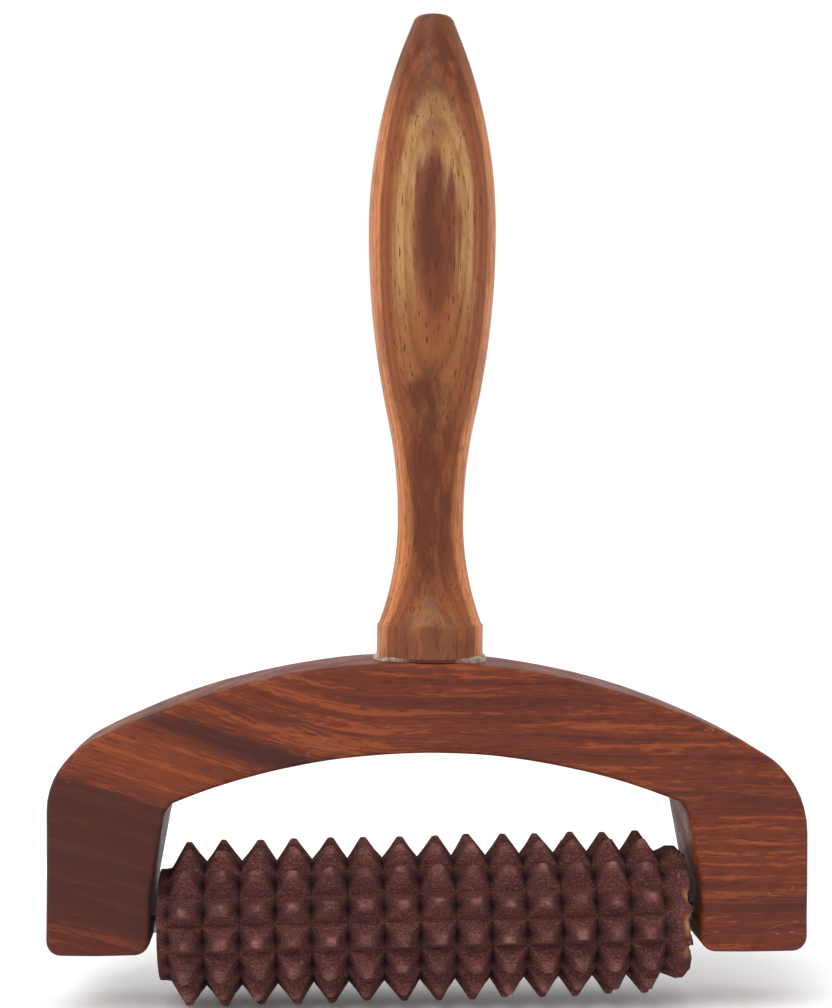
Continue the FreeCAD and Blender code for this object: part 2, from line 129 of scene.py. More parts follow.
class RollerSizes(bpy.types.PropertyGroup):
    ring_count: IntProperty(name="Rings", description="Rings of spikes", default=15, min=3)
    row_count: IntProperty(name="Rows", description="Spikes in each ring", default=14, min=6)
    row_turn: FloatProperty(name="Row turn", description="Turn of the front row down from the axle's level",
                            default=math.radians(2.2), subtype="ANGLE")
    ring_pitch: length("Ring pitch", 0.00838, "From one ring to the next")
    overall: length("Length", 0.1264, "Length over both ends")
    end_gap: length("End gap", 0.0016, "Between the left end and the left arm")
    bore_radius: length("Bore radius", 0.0021, "Radius of the bore that runs on the rod")
    tip_radius: length("Tip radius", 0.0197, "From the axle to a spike's tip")
    tip_width: length("Tip width", 0.0013, "Width of the flat on each tip")
    ring_depth: length("Ring depth", 0.0055, "Depth of the turned grooves")
    row_depth: length("Row depth", 0.0053, "Depth of the lengthwise grooves")
    plain_radius: length("Plain end radius", 0.0131, "Radius of the plain left end")
    plain_length: length("Plain end length", 0.0025, "Length of the plain left end")
    blunt_loss: length("Blunt ring loss", 0.0033, "Height that the last ring has lost")
    blunt_fall: length("Blunt end fall", 0.0012, "How much lower the last ring is at the end")
    blunt_end: length("Blunt end length", 0.0009, "Length of the worn stretch at the end")
    hand_cut: length("Hand-cut spread", 0.00028, "How far each tip is from its true place")
    ring_drift: length("Ring drift", 0.0008, "How far the rings wander from even spacing")
    chip_depth: length("Chip depth", 0.0026, "Depth of the deepest chips in the last ring")


class GlueSizes(bpy.types.PropertyGroup):
    line: length("Glue line", 0.00025, "Thinnest glue between crown and collar")
    width: length("Bead width", 0.0009, "How far the bead stands out from the collar")
    rise: length("Bead rise", 0.0009, "How far the bead climbs the collar")


class WoodColours(bpy.types.PropertyGroup):
    yoke_dark: colour("Yoke dark", (0.068, 0.016, 0.011), "Darkest streaks of the board")
    yoke_mid: colour("Yoke middle", (0.130, 0.026, 0.012), "Body colour of the board")
    yoke_light: colour("Yoke light", (0.225, 0.052, 0.017), "Lightest streaks of the board")
    yoke_shade: colour("Yoke shade", (0.046, 0.013, 0.012), "Purple-brown bands and the left arm")
    yoke_scratch: colour("Yoke scratches", (0.420, 0.210, 0.150), "Scratches in the oiled face")
    handle_heart: colour("Handle heart", (0.150, 0.048, 0.027), "Brown streak down the swell")
    handle_dark: colour("Handle dark", (0.085, 0.022, 0.012), "Darkest layer of the handle")
    handle_gold: colour("Handle gold", (0.400, 0.215, 0.085), "Golden layer of the handle")
    handle_red: colour("Handle red", (0.240, 0.072, 0.026), "Red-brown layer of the handle")
    # Orange wood at the sides, also a painted sheen standing in for the grazing reflection on the handle's
    # edges.
    handle_orange_and_sheen: colour("Handle orange", (0.560, 0.205, 0.072), "Orange wood at the handle's sides")
    # Painted shade: the next colour darkens the grooves between the spikes, where the spikes shade each
    # other.
    roller_hollow_shade: colour("Roller grime", (0.012, 0.005, 0.006), "Old wax and dirt in the hollows")
    roller_dark: colour("Roller dark", (0.030, 0.010, 0.010), "Pores and dark flecks of the roller")
    roller_mid: colour("Roller middle", (0.094, 0.034, 0.033), "Flanks of the spikes")
    roller_red: colour("Roller red", (0.130, 0.043, 0.035), "Redder patches of the flanks")
    # The tip colour stands for wear on the tips and also for painted reflected light on them.
    roller_tip: colour("Roller tips", (0.310, 0.138, 0.122), "Worn tips of the spikes")
    raw_wood: colour("Raw wood", (0.430, 0.190, 0.070), "Fresh wood in the chips")
    glue: colour("Glue", (0.560, 0.430, 0.340), "Dried glue")


class StageSettings(bpy.types.PropertyGroup):
    camera_distance: length("Camera distance", 0.400, "From the lens to the board's front face")
    camera_x: place("Camera side", -0.0236, "Sideways place of the camera")
    camera_height: length("Camera height", 0.1249, "Height of the camera")
    pan: FloatProperty(name="Pan", description="Turn of the camera to the right",
                       default=math.radians(2.78), subtype="ANGLE")
    tilt: FloatProperty(name="Tilt", description="How far the camera looks down",
                        default=math.radians(0.54), subtype="ANGLE")
    roll: FloatProperty(name="Roll", description="Roll of the camera, clockwise",
                        default=math.radians(-0.36), subtype="ANGLE")
    lens: FloatProperty(name="Lens", description="Focal length in millimetres", default=60.9)
    world_light: FloatProperty(name="World light", description="Brightness of the white surround",
                               default=1.0, min=0.0)
    key_light: FloatProperty(name="Key light", description="Strength of the broad light overhead",
                             default=1.4, min=0.0)


SETTING_GROUPS = {
    "roller_yoke": YokeSizes,
    "roller_handle": HandleSizes,
    "roller_spikes": RollerSizes,
    "roller_glue": GlueSizes,
    "roller_colours": WoodColours,
    "roller_stage": StageSettings,
}


# ---------------------------------------------------------------- mesh helpers

def line_to(bm, start, end, steps=1):
    """Draw a straight run of edges from a vertex; returns the vertex at its end."""
    first = start.co.copy()
    last = start
    for step in range(1, steps + 1):
        last = bmesh.ops.extrude_vert_indiv(bm, verts=[last])["verts"][0]
        last.co = first.lerp(Vector(end), step / steps)
    return last


def turn_about(bm, start, centre, angle, steps):
    """Draw an arc in the front plane by spinning a vertex about centre; returns the last vertex."""
    spun = bmesh.ops.spin(bm, geom=[start], cent=centre, axis=ACROSS, angle=angle, steps=steps,
                          use_duplicate=False)
    return next(item for item in spun["geom_last"] if isinstance(item, bmesh.types.BMVert))


def arc_to(bm, start, end, radius, steps):
    """Draw an arc of that radius to end; a positive radius turns clockwise seen from the front."""
    chord = Vector(end) - start.co
    half = chord.length / 2
    rise = math.sqrt(radius * radius - half * half)
    centre = (start.co + Vector(end)) / 2 + ACROSS.cross(chord).normalized() * math.copysign(rise, radius)
    angle = math.copysign(2 * math.asin(half / abs(radius)), radius)
    return turn_about(bm, start, centre, angle, steps)


def finish_object(name, bm, smooth_angle):
    """Turn a bmesh into an object at the origin, smooth except over edges sharper than the angle."""
    mesh = bpy.data.meshes.new(name)
    bm.to_mesh(mesh)
    bm.free()
    mesh.shade_smooth()
    mesh.set_sharp_from_angle(angle=smooth_angle)
    piece = bpy.data.objects.new(name, mesh)
    bpy.context.scene.collection.objects.link(piece)
    return piece


def set_attribute(piece, name, values):
    """Keep one number for each vertex, for the piece's material to read."""
    layer = piece.data.attributes.new(name, "FLOAT", "POINT")
    layer.data.foreach_set("value", values)


def roughen(verts, wavelength, depth, seed):
    """Move vertices by smooth noise of that wavelength, as far as depth at most."""
    noise.seed_set(NOISE_SEED)      # unless it is set, the clock seeds this noise and no two runs agree
    shift = Vector((seed * 17.3, seed * 5.1, seed * 9.7))
    for vert in verts:
        vert.co += noise.noise_vector(vert.co / wavelength + shift) * depth


def cut_away(piece, cutter_bm):
    """Take the cutter's solids out of the piece."""
    mesh = bpy.data.meshes.new("cutter")
    bmesh.ops.recalc_face_normals(cutter_bm, faces=cutter_bm.faces)
    cutter_bm.to_mesh(mesh)
    cutter_bm.free()
    cutter = bpy.data.objects.new("cutter", mesh)
    bpy.context.scene.collection.objects.link(cutter)
    drilling = piece.modifiers.new("drilling", "BOOLEAN")
    drilling.operation = "DIFFERENCE"
    drilling.solver = "EXACT"
    drilling.object = cutter
    drilled = bpy.data.meshes.new_from_object(piece.evaluated_get(bpy.context.evaluated_depsgraph_get()))
    piece.modifiers.remove(drilling)
    piece.data = drilled
    bpy.data.objects.remove(cutter)


def settle(piece, body, slot, material, *nodes):
    """Give a finished piece its material and its body, and hide the nodes that it stands for; the slot is not
    used.
    """
    piece.data.materials.clear()
    piece.data.materials.append(material)
    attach(piece, body)
    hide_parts(*nodes)


# ---------------------------------------------------------------- node helpers

def add_node(tree, kind, inputs=None, **settings):
    """Add a node; each input is a socket to link or a value to set."""
    made = tree.nodes.new(kind)
    for name, value in settings.items():
        setattr(made, name, value)
    for name, value in (inputs or {}).items():
        socket = made.inputs[name]
        if isinstance(value, bpy.types.NodeSocket):
            tree.links.new(value, socket)
        else:
            socket.default_value = value
    return made


def calculate(tree, operation, first, second=0.0):
    return add_node(tree, "ShaderNodeMath", {0: first, 1: second}, operation=operation).outputs[0]


def scaled(tree, vector, factors):
    return add_node(tree, "ShaderNodeVectorMath", {0: vector, 1: factors}, operation="MULTIPLY").outputs[0]


def speckle(tree, vector, detail=2.0, roughness=0.5):
    """Noise from 0 to 1, one feature to the unit."""
    return add_node(tree, "ShaderNodeTexNoise", {
        "Vector": vector, "Scale": 1.0, "Detail": detail, "Roughness": roughness}).outputs["Fac"]


def between(tree, value, low, high, to_low=0.0, to_high=1.0):
    """Smoothly spread value from low..high over to_low..to_high, and no further."""
    return add_node(tree, "ShaderNodeMapRange", {
        "Value": value, "From Min": low, "From Max": high, "To Min": to_low, "To Max": to_high,
    }, interpolation_type="SMOOTHSTEP").outputs["Result"]


def blend_colours(tree, factor, first, second):
    mixed = add_node(tree, "ShaderNodeMix", data_type="RGBA")
    for index, value in ((0, factor), (6, first), (7, second)):
        if isinstance(value, bpy.types.NodeSocket):
            tree.links.new(value, mixed.inputs[index])
        else:
            mixed.inputs[index].default_value = (*value, 1.0)
    return mixed.outputs[2]


def tint(tree, body, mask, strength, shade):
    """Lay a shade over the body colour where the mask is 1, as thickly as strength."""
    return blend_colours(tree, calculate(tree, "MULTIPLY", mask, strength), body, shade)


def colour_steps(tree, factor, stops):
    """A colour ramp through (position, colour) stops."""
    made = add_node(tree, "ShaderNodeValToRGB", {"Fac": factor})
    ramp = made.color_ramp
    ramp.interpolation = "EASE"
    while len(ramp.elements) < len(stops):
        ramp.elements.new(0.5)
    for element, (position, shade) in zip(ramp.elements, stops):
        element.position = position
        element.color = (*shade, 1.0)
    return made.outputs["Color"]


def new_group(name, inputs, outputs):
    """An empty shader node group with named sockets; returns its tree, input node and output node."""
    tree = bpy.data.node_groups.new(name, "ShaderNodeTree")
    for label, kind, default in inputs:
        socket = tree.interface.new_socket(label, in_out="INPUT", socket_type=kind)
        if default is not None:
            socket.default_value = default
    for label, kind in outputs:
        tree.interface.new_socket(label, in_out="OUTPUT", socket_type=kind)
    return tree, tree.nodes.new("NodeGroupInput"), tree.nodes.new("NodeGroupOutput")


def use_group(tree, name, inputs):
    return add_node(tree, "ShaderNodeGroup", inputs, node_tree=NODE_GROUPS[name]())


# ---------------------------------------------------------------- node groups that several woods share

def growth_rings_group():
    """Distance from the tree's heart, in millimetres, and the dark line of each year's ring.

    The grain runs along the point's Z, and the heart is at its X = Y = 0.
    """
    if "growth_rings" in bpy.data.node_groups:
        return bpy.data.node_groups["growth_rings"]
    tree, given, result = new_group(
        "growth_rings",
        (("Point", "NodeSocketVector", None), ("Warp", "NodeSocketFloat", 4.0),
         ("Ring Width", "NodeSocketFloat", 2.0)),
        (("Depth", "NodeSocketFloat"), ("Line", "NodeSocketFloat")))
    drift = add_node(tree, "ShaderNodeTexNoise", {
        "Vector": scaled(tree, given.outputs["Point"], (0.045, 0.045, 0.011)), "Scale": 1.0, "Detail": 3.0,
    }).outputs["Color"]
    centred = add_node(tree, "ShaderNodeVectorMath", {0: drift, 1: (0.5, 0.5, 0.5)}, operation="SUBTRACT")
    pushed = add_node(tree, "ShaderNodeVectorMath", {0: centred.outputs[0], "Scale": given.outputs["Warp"]},
                      operation="SCALE")
    moved = add_node(tree, "ShaderNodeVectorMath", {0: given.outputs["Point"], 1: pushed.outputs[0]},
                     operation="ADD")
    flat = scaled(tree, moved.outputs[0], (1.0, 1.0, 0.0))
    depth = add_node(tree, "ShaderNodeVectorMath", {0: flat}, operation="LENGTH").outputs["Value"]
    year = calculate(tree, "FRACT", calculate(tree, "DIVIDE", depth, given.outputs["Ring Width"]))
    rise = between(tree, year, 0.35, 0.88)
    fall = between(tree, year, 0.90, 1.0, 1.0, 0.0)
    tree.links.new(depth, result.inputs["Depth"])
    tree.links.new(calculate(tree, "MULTIPLY", rise, fall), result.inputs["Line"])
    return tree


def wood_fibre_group():
    """Streaks, fine fibres and short dark pores, all drawn out along the point's Z."""
    if "wood_fibre" in bpy.data.node_groups:
        return bpy.data.node_groups["wood_fibre"]
    tree, given, result = new_group(
        "wood_fibre",
        (("Point", "NodeSocketVector", None), ("Streak Size", "NodeSocketFloat", 3.0)),
        (("Streak", "NodeSocketFloat"), ("Fibre", "NodeSocketFloat"), ("Pore", "NodeSocketFloat")))
    point = given.outputs["Point"]
    share = calculate(tree, "DIVIDE", 1.0, given.outputs["Streak Size"])
    sized = add_node(tree, "ShaderNodeVectorMath", {0: point, "Scale": share}, operation="SCALE").outputs[0]
    streak = speckle(tree, scaled(tree, sized, (1.0, 1.0, 0.045)), detail=4.0, roughness=0.6)
    fibre = speckle(tree, scaled(tree, point, (1.5, 1.5, 0.20)), detail=5.0, roughness=0.7)
    pore = speckle(tree, scaled(tree, point, (2.4, 2.4, 0.22)), detail=1.0)
    tree.links.new(streak, result.inputs["Streak"])
    tree.links.new(fibre, result.inputs["Fibre"])
    tree.links.new(between(tree, pore, 0.62, 0.72), result.inputs["Pore"])
    return tree


def wear_marks_group():
    """Soft smudges and a few thin scratches across the grain, from 0 to 1."""
    if "wear_marks" in bpy.data.node_groups:
        return bpy.data.node_groups["wear_marks"]
    tree, given, result = new_group(
        "wear_marks", (("Point", "NodeSocketVector", None),),
        (("Smudge", "NodeSocketFloat"), ("Scratch", "NodeSocketFloat")))
    point = given.outputs["Point"]
    smudge = between(tree, speckle(tree, scaled(tree, point, (0.11, 0.11, 0.08)), detail=4.0), 0.35, 0.7)
    turned = add_node(tree, "ShaderNodeMapping", {
        "Vector": point, "Rotation": (0.35, 0.6, 0.2), "Scale": (0.55, 0.5, 0.045)}).outputs[0]
    line = calculate(tree, "ABSOLUTE", calculate(tree, "SUBTRACT", speckle(tree, turned, detail=0.0), 0.5))
    thin = between(tree, line, 0.0, 0.006, 1.0, 0.0)
    here = between(tree, speckle(tree, scaled(tree, point, (0.06, 0.06, 0.06)), detail=1.0), 0.56, 0.66)
    tree.links.new(smudge, result.inputs["Smudge"])
    tree.links.new(calculate(tree, "MULTIPLY", thin, here), result.inputs["Scratch"])
    return tree


NODE_GROUPS = {
    "growth_rings": growth_rings_group,
    "wood_fibre": wood_fibre_group,
    "wear_marks": wear_marks_group,
}


# ---------------------------------------------------------------- materials

def new_material(name, roughness, **shader_values):
    """A material with one Principled shader; returns its tree and the shader."""
    material = bpy.data.materials.new(name)
    material.use_nodes = True
    tree = material.node_tree
    shader = next(n for n in tree.nodes if n.type == "BSDF_PRINCIPLED")
    shader.inputs["Roughness"].default_value = roughness
    for label, value in shader_values.items():
        shader.inputs[label.replace("_", " ")].default_value = value
    return material, tree, shader


def own_point(tree):
    """The shaded point in the piece's own frame, in millimetres."""
    own = add_node(tree, "ShaderNodeTexCoord").outputs["Object"]
    return scaled(tree, own, (1 / MM, 1 / MM, 1 / MM))


def grain_point(tree, along, heart):
    """The piece's own point, turned so that the grain runs along Z and the tree's heart is at 0, 0."""
    parts = add_node(tree, "ShaderNodeSeparateXYZ", {0: own_point(tree)})
    order = {"Z": ("X", "Y", "Z"), "X": ("Y", "Z", "X")}[along]
    turned = add_node(tree, "ShaderNodeCombineXYZ",
                      {axis: parts.outputs[source] for axis, source in zip("XYZ", order)})
    moved = add_node(tree, "ShaderNodeVectorMath", {0: turned.outputs[0], 1: heart}, operation="SUBTRACT")
    return moved.outputs[0]


def put_bump(tree, shader, height, strength, distance):
    bump = add_node(tree, "ShaderNodeBump",
                    {"Height": height, "Strength": strength, "Distance": distance})
    tree.links.new(bump.outputs["Normal"], shader.inputs["Normal"])


def soft_spot(tree, point, wobble, centre, reach, softness=0.35):
    """1 inside an oval round centre with those half sizes, fading to 0; wobble pushes its edge about."""
    edge_push = 0.9
    away = add_node(tree, "ShaderNodeVectorMath", {0: point, 1: centre}, operation="SUBTRACT").outputs[0]
    sized = add_node(tree, "ShaderNodeVectorMath", {0: away, 1: reach}, operation="DIVIDE").outputs[0]
    far = add_node(tree, "ShaderNodeVectorMath", {0: sized}, operation="LENGTH").outputs["Value"]
    push = calculate(tree, "MULTIPLY", calculate(tree, "SUBTRACT", wobble, 0.5), edge_push)
    pushed = calculate(tree, "ADD", far, push)
    return between(tree, pushed, 1.0 - softness, 1.0 + softness, 1.0, 0.0)


def yoke_material(colours):
    """Oiled red-brown board: straight grain that dips to the left, dark bands, a dark left arm."""
    material, tree, shader = new_material("oiled_board", 0.55, Specular_IOR_Level=0.16)
    parts = add_node(tree, "ShaderNodeSeparateXYZ", {0: own_point(tree)})
    x, y, z = (parts.outputs[axis] for axis in "XYZ")
    dip = add_node(tree, "ShaderNodeMapRange", {
        "Value": x, "From Min": -110.0, "From Max": -8.0, "To Min": 23.0, "To Max": 0.0},
        interpolation_type="SMOOTHSTEP").outputs["Result"]
    level = calculate(tree, "SUBTRACT", z, dip)
    point = add_node(tree, "ShaderNodeCombineXYZ", {"X": y, "Y": level, "Z": x}).outputs[0]
    figure = add_node(tree, "ShaderNodeCombineXYZ", {"X": x, "Z": level}).outputs[0]
    heart = add_node(tree, "ShaderNodeVectorMath", {0: point, 1: (34.0, -30.0, 0.0)}, operation="SUBTRACT")
    rings = use_group(tree, "growth_rings", {"Point": heart.outputs[0], "Warp": 9.0, "Ring Width": 4.3})
    fibre = use_group(tree, "wood_fibre", {"Point": point, "Streak Size": 2.5})
    marks = use_group(tree, "wear_marks", {"Point": point})
    wobble = speckle(tree, scaled(tree, point, (0.22, 0.22, 0.06)), detail=4.0, roughness=0.6)
    dark, mid, light = colours.yoke_dark, colours.yoke_mid, colours.yoke_light

    tone = calculate(tree, "ADD", calculate(tree, "MULTIPLY", rings.outputs["Line"], -0.14),
                     fibre.outputs["Streak"])
    tone = calculate(tree, "ADD", tone, calculate(tree, "MULTIPLY", fibre.outputs["Fibre"], 0.8))
    body = colour_steps(tree, tone, ((0.52, dark), (0.88, mid), (1.28, light)))
    purple = colours.yoke_shade
    bands = (
        ((-46.0, 0.0, 57.6), (27.0, 1.0, 2.2), 0.85),
        ((-32.0, 0.0, 55.0), (20.0, 1.0, 3.2), 0.60),
        ((12.0, 0.0, 74.5), (34.0, 1.0, 2.4), 0.35),
        ((84.0, 0.0, 52.0), (22.0, 1.0, 3.6), 0.50),
        ((80.0, 0.0, 26.0), (24.0, 1.0, 3.0), 0.55),
        ((13.5, 0.0, 57.6), (4.6, 1.0, 0.9), 0.80),
    )
    for centre, reach, strength in bands:
        mask = soft_spot(tree, figure, wobble, centre, reach, softness=0.6)
        body = tint(tree, body, mask, strength, purple)
    uneven = calculate(tree, "ADD", level, calculate(tree, "MULTIPLY", wobble, 7.0))
    below = between(tree, uneven, 38.5, 43.5, 1.0, 0.0)
    arm = calculate(tree, "MULTIPLY", below, between(tree, x, -62.0, -50.0, 1.0, 0.0))
    arm = calculate(tree, "MULTIPLY", arm, between(tree, uneven, 2.0, 12.0, 0.45, 0.85))
    body = blend_colours(tree, arm, body, purple)
    orange = soft_spot(tree, figure, wobble, (-70.0, 0.0, 47.0), (26.0, 1.0, 7.0), softness=0.6)
    body = tint(tree, body, orange, 0.32, light)
    body = tint(tree, body, fibre.outputs["Pore"], 0.6, dark)
    body = tint(tree, body, marks.outputs["Scratch"], 0.4, colours.yoke_scratch)
    tree.links.new(body, shader.inputs["Base Color"])
    rough = calculate(tree, "ADD", 0.44, calculate(tree, "MULTIPLY", marks.outputs["Smudge"], 0.16))
    rough = calculate(tree, "ADD", rough, calculate(tree, "MULTIPLY", fibre.outputs["Pore"], 0.2))
    tree.links.new(rough, shader.inputs["Roughness"])
    relief = calculate(tree, "SUBTRACT", fibre.outputs["Fibre"], fibre.outputs["Pore"])
    put_bump(tree, shader, relief, 0.45, 0.00018)
    return material


def handle_material(colours):
    """Polished turning: the swell cuts through a brown heart, gold, then red-brown and orange wood; the heart
    sits in front, so the light orange falls at both sides, partly as painted sheen of grazing light.
    """
    material, tree, shader = new_material("polished_turning", 0.38, Specular_IOR_Level=0.10, Coat_Weight=0.03)
    shader.inputs["Coat Roughness"].default_value = 0.3
    point = grain_point(tree, "Z", (0.0, 0.0, 0.0))
    heart = add_node(tree, "ShaderNodeVectorMath", {0: point, 1: (-0.8, -46.0, 0.0)}, operation="SUBTRACT")
    rings = use_group(tree, "growth_rings", {"Point": heart.outputs[0], "Warp": 4.0, "Ring Width": 2.1})
    fibre = use_group(tree, "wood_fibre", {"Point": point, "Streak Size": 2.0})
    marks = use_group(tree, "wear_marks", {"Point": point})
    wobble = speckle(tree, scaled(tree, point, (0.3, 0.3, 0.07)), detail=4.0, roughness=0.6)
    dark, gold = colours.handle_dark, colours.handle_gold
    red, orange = colours.handle_red, colours.handle_orange_and_sheen

    wander = calculate(tree, "MULTIPLY", calculate(tree, "SUBTRACT", fibre.outputs["Streak"], 0.5), 3.8)
    layer = calculate(tree, "ADD", rings.outputs["Depth"], wander)
    first, last = 29.0, 53.0
    spread = add_node(tree, "ShaderNodeMapRange", {"Value": layer, "From Min": first, "From Max": last})
    # the heart sits in front of the handle, so the orange layer lands on both sides: wood colour and painted
    # edge sheen
    layers = ((30.0, colours.handle_heart), (31.5, colours.handle_heart), (32.7, gold), (34.4, gold),
              (36.4, red), (39.0, red), (41.5, orange), (52.5, orange))
    body = colour_steps(tree, spread.outputs["Result"],
                        [((depth - first) / (last - first), shade) for depth, shade in layers])
    stains = (
        ((0.0, -10.0, 160.0), (9.5, 9.0, 16.0), 0.85, red),
        ((-2.0, -10.0, 147.0), (5.0, 8.0, 3.6), 0.75, dark),
        ((-0.4, -8.0, 124.0), (5.2, 8.0, 30.0), 0.85, dark),
        ((-0.5, -12.0, 188.0), (2.4, 9.0, 21.0), 0.70, dark),
        ((0.0, -3.0, 236.0), (13.0, 15.0, 26.0), 0.85, dark),
        ((0.0, -13.0, 87.0), (10.0, 7.0, 8.0), 0.92, colours.handle_heart),
    )
    for centre, reach, strength, shade in stains:
        mask = soft_spot(tree, point, wobble, centre, reach, softness=0.5)
        body = tint(tree, body, mask, strength, shade)
    body = blend_colours(tree, between(tree, wobble, 0.46, 0.64, 0.0, 0.55), body, red)
    body = tint(tree, body, rings.outputs["Line"], 0.30, dark)
    body = blend_colours(tree, between(tree, fibre.outputs["Fibre"], 0.48, 0.30, 0.0, 0.45), body, dark)
    body = tint(tree, body, fibre.outputs["Pore"], 0.8, dark)
    tree.links.new(body, shader.inputs["Base Color"])
    rough = calculate(tree, "ADD", 0.36, calculate(tree, "MULTIPLY", marks.outputs["Smudge"], 0.16))
    tree.links.new(rough, shader.inputs["Roughness"])
    put_bump(tree, shader, fibre.outputs["Pore"], 0.3, -0.0001)
    return material


def roller_material(colours):
    """Rough dark wood: tips worn light and painted lighter for reflected light, dusty flanks, painted shade
    in the grooves and fresh wood in the chips.
    """
    material, tree, shader = new_material("rough_roller", 0.85, Specular_IOR_Level=0.08)
    point = grain_point(tree, "X", (6.0, 0.0, 0.0))
    fibre = use_group(tree, "wood_fibre", {"Point": point, "Streak Size": 2.5})
    marks = use_group(tree, "wear_marks", {"Point": point})
    height = add_node(tree, "ShaderNodeAttribute", attribute_name="spike_height").outputs["Fac"]
    raw = add_node(tree, "ShaderNodeAttribute", attribute_name="raw_wood").outputs["Fac"]
    hollow_shade = add_node(tree, "ShaderNodeAttribute", attribute_name="hollow_shade").outputs["Fac"]
    fuzz = speckle(tree, scaled(tree, point, (2.2, 2.2, 1.6)), detail=5.0, roughness=0.7)
    patch = speckle(tree, scaled(tree, point, (0.3, 0.3, 0.2)), detail=3.0)
    dark, mid, tip = colours.roller_dark, colours.roller_mid, colours.roller_tip
    body = blend_colours(tree, between(tree, patch, 0.36, 0.66), mid, colours.roller_red)
    # tips lightened by height: partly wear, partly painted reflected light
    worn = calculate(tree, "MULTIPLY", between(tree, height, 0.55, 1.0),
                     between(tree, patch, 0.4, 0.7, 0.15, 0.9))
    body = blend_colours(tree, worn, body, tip)
    body = blend_colours(tree, between(tree, fuzz, 0.48, 0.68, 0.0, 0.6), body, tip)
    body = blend_colours(tree, between(tree, fuzz, 0.30, 0.48, 0.6, 0.0), body, dark)
    body = tint(tree, body, fibre.outputs["Pore"], 0.5, dark)
    body = tint(tree, body, marks.outputs["Smudge"], 0.2, dark)
    # painted shade: darken the grooves between the spikes by the hollow-shade mask
    body = blend_colours(tree, hollow_shade, body, colours.roller_hollow_shade)
    fresh = blend_colours(tree, between(tree, fuzz, 0.4, 0.7), colours.raw_wood, tip)
    body = blend_colours(tree, raw, body, fresh)
    tree.links.new(body, shader.inputs["Base Color"])
    put_bump(tree, shader, calculate(tree, "ADD", fuzz, fibre.outputs["Fibre"]), 0.9, 0.0005)
    return material


def glue_material(colours):
    """Whitish crust; where it is thin it takes the board's darkest colour, painted shade for the dark gap
    line under the collar's front.
    """
    material, tree, shader = new_material("dried_glue", 0.7, Specular_IOR_Level=0.3)
    point = own_point(tree)
    crumbs = speckle(tree, scaled(tree, point, (2.6, 2.6, 2.6)), detail=4.0, roughness=0.65)
    crust = add_node(tree, "ShaderNodeAttribute", attribute_name="crust").outputs["Fac"]
    share = calculate(tree, "MULTIPLY", crust, between(tree, crumbs, 0.3, 0.55))
    # painted shade: thin glue, as at the front, takes the darkest board colour for the shadowed gap line
    tree.links.new(blend_colours(tree, share, colours.yoke_dark, colours.glue), shader.inputs["Base Color"])
    put_bump(tree, shader, crumbs, 0.7, 0.0003)
    return material


def dowel_material(colours):
    """End grain: fine rings and open pores."""
    material, tree, shader = new_material("dowel_end_grain", 0.65, Specular_IOR_Level=0.2)
    point = grain_point(tree, "X", (7.0, 12.0, 0.0))
    rings = use_group(tree, "growth_rings", {"Point": point, "Warp": 1.0, "Ring Width": 0.8})
    fibre = use_group(tree, "wood_fibre", {"Point": point, "Streak Size": 1.2})
    body = blend_colours(tree, rings.outputs["Line"], colours.yoke_light, colours.yoke_mid)
    body = blend_colours(tree, fibre.outputs["Pore"], body, colours.yoke_dark)
    tree.links.new(body, shader.inputs["Base Color"])
    put_bump(tree, shader, fibre.outputs["Fibre"], 0.4, 0.0001)
    return material


def steel_material():
    """Drawn steel rod with fine lines along it and a little tarnish."""
    material, tree, shader = new_material("drawn_steel", 0.35, Metallic=1.0)
    point = grain_point(tree, "X", (0.0, 0.0, 0.0))
    lines = speckle(tree, scaled(tree, point, (9.0, 9.0, 0.1)), detail=2.0)
    tarnish = between(tree, speckle(tree, scaled(tree, point, (0.5, 0.5, 0.3)), detail=4.0), 0.45, 0.7)
    tree.links.new(blend_colours(tree, tarnish, (0.52, 0.52, 0.53), (0.27, 0.24, 0.22)),
                   shader.inputs["Base Color"])
    tree.links.new(between(tree, lines, 0.3, 0.7, 0.28, 0.5), shader.inputs["Roughness"])
    put_bump(tree, shader, lines, 0.2, 0.00005)
    return material


def floor_material():
    """Pale matt ground with a trace of tooth."""
    material, tree, shader = new_material("pale_ground", 0.9, Specular_IOR_Level=0.1)
    own = add_node(tree, "ShaderNodeTexCoord").outputs["Object"]
    tooth = speckle(tree, scaled(tree, own, (220.0, 220.0, 220.0)), detail=2.0)
    tree.links.new(blend_colours(tree, tooth, (0.90, 0.90, 0.90), (0.93, 0.93, 0.93)),
                   shader.inputs["Base Color"])
    return material


# ---------------------------------------------------------------- yoke

def fork_sides(sizes):
    """Sideways places of the two inner faces at the axle."""
    return sizes.fork_offset - sizes.fork_opening / 2, sizes.fork_offset + sizes.fork_opening / 2


